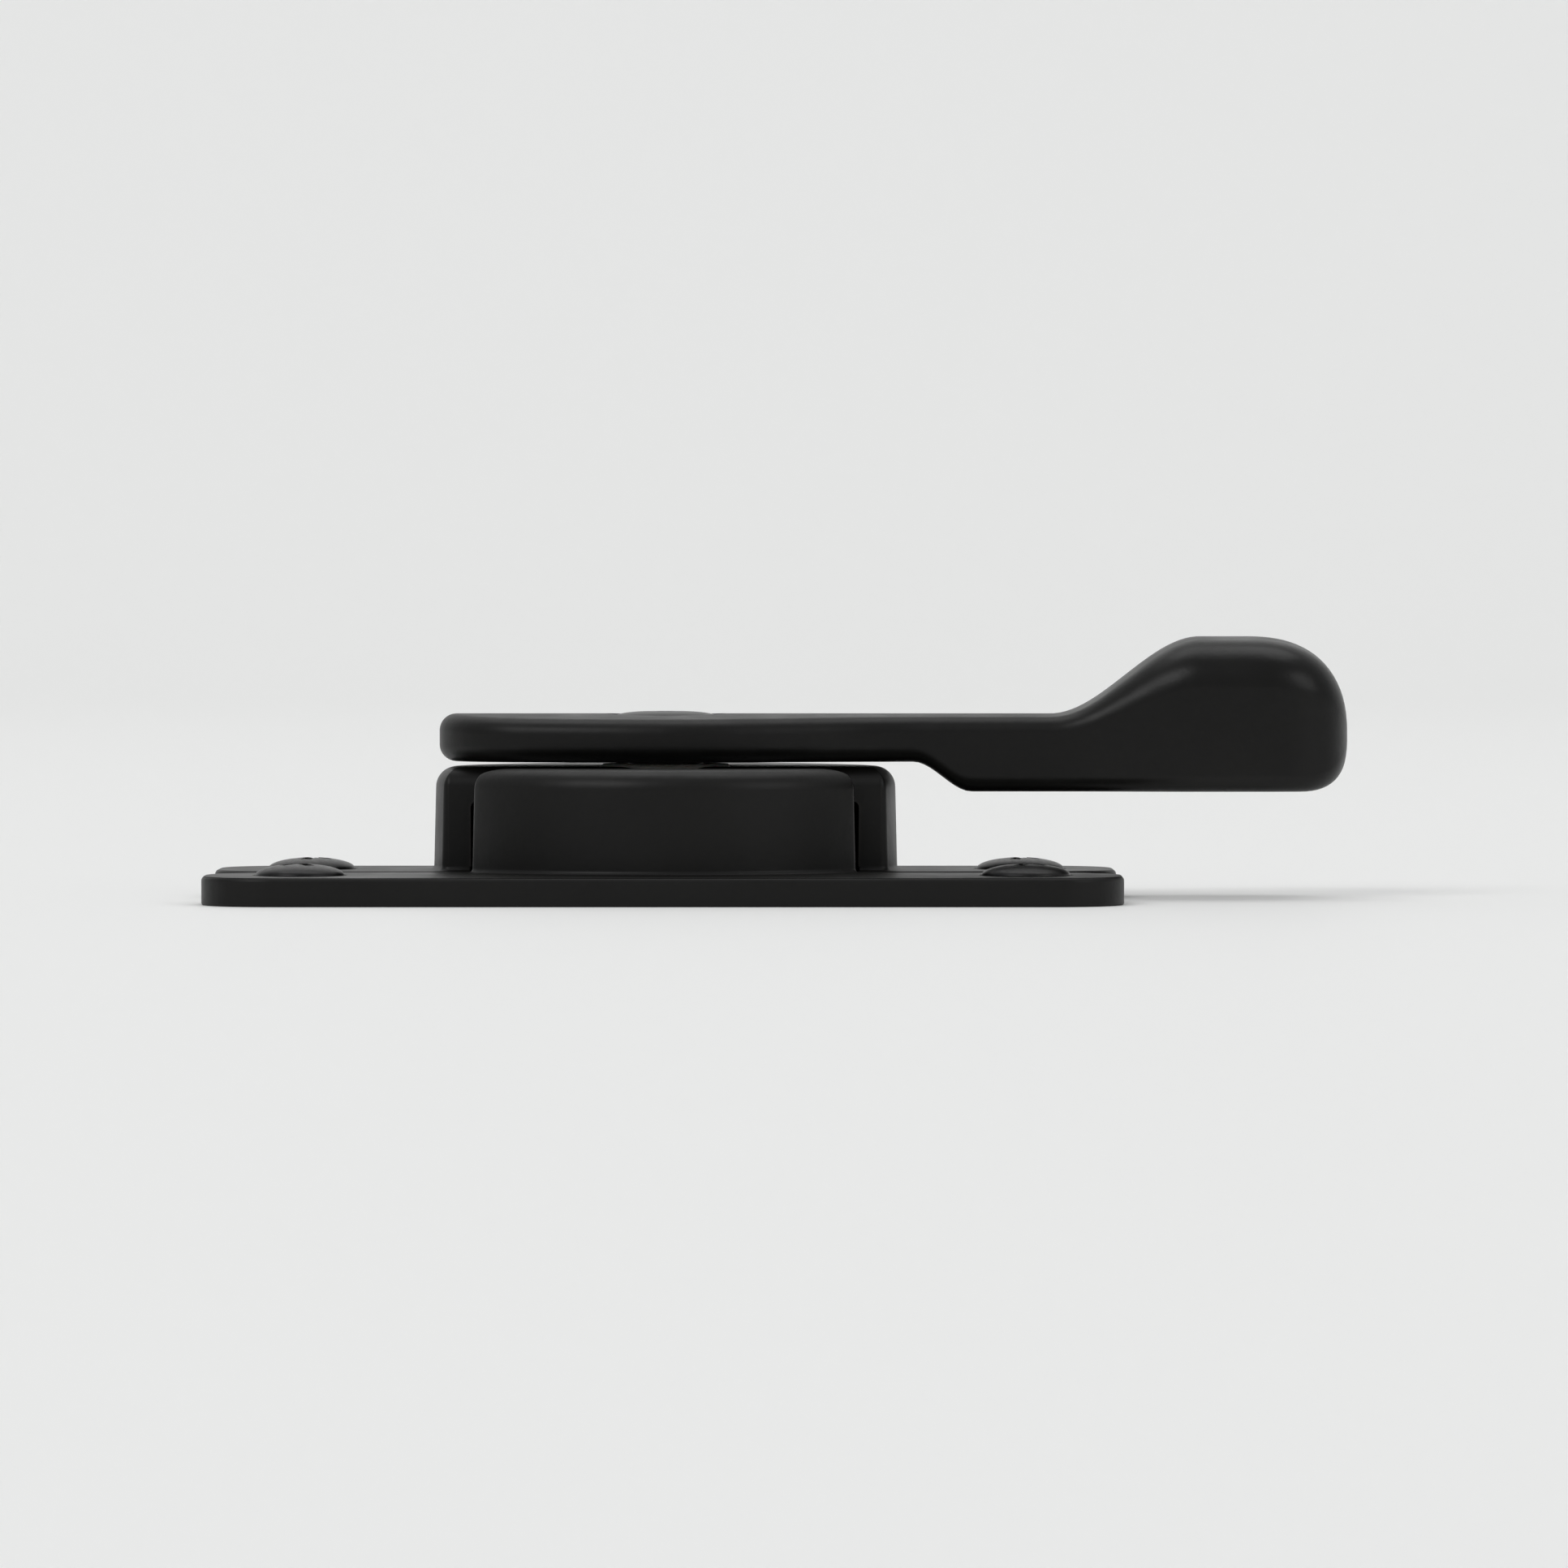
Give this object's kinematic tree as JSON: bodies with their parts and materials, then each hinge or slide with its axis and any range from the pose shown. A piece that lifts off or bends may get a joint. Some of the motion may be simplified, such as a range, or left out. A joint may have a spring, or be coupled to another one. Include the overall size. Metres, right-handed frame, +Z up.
{
  "type": "window sash lock",
  "caption": "Black cam sash lock for a double-hung window: a swing lever turns a hooked cam under the lip of a screwed-down keeper.",
  "frame": {"origin": "on the lever's pivot axis, at the plane of the rails that the lock and keeper are screwed to", "axes": "+X along the rails towards the lever's tip when locked, +Y indoors, +Z up out of the rails"},
  "size_m": [0.088, 0.0415, 0.0371],
  "materials": {
    "satin_black": "satin black powder coat on die-cast zinc",
    "black_steel": "black oxide steel",
    "cast_zinc": "raw die-cast zinc",
    "nylon": "natural moulded nylon",
    "spring_steel": "blued spring steel"
  },
  "bodies": {
    "fixed": {"lock_housing": "satin_black", "spindle_bush": "nylon", "detent_spring": "spring_steel", "lock_screw_left": "black_steel", "lock_screw_right": "black_steel", "keeper": "satin_black", "keeper_screw_left": "black_steel", "keeper_screw_right": "black_steel"},
    "lever": {"lever": "satin_black", "spindle": "black_steel", "cam": "cast_zinc", "wave_washer": "spring_steel", "thrust_washer": "spring_steel", "retaining_clip": "spring_steel"}
  },
  "joints": [
    {"name": "lever_turn", "type": "hinge", "parent": "fixed", "child": "lever", "pos_m": [0, 0, 0], "axis": [0, 0, 1], "range_deg": [0, 180], "deforming": ["detent_spring"]}
  ]
}
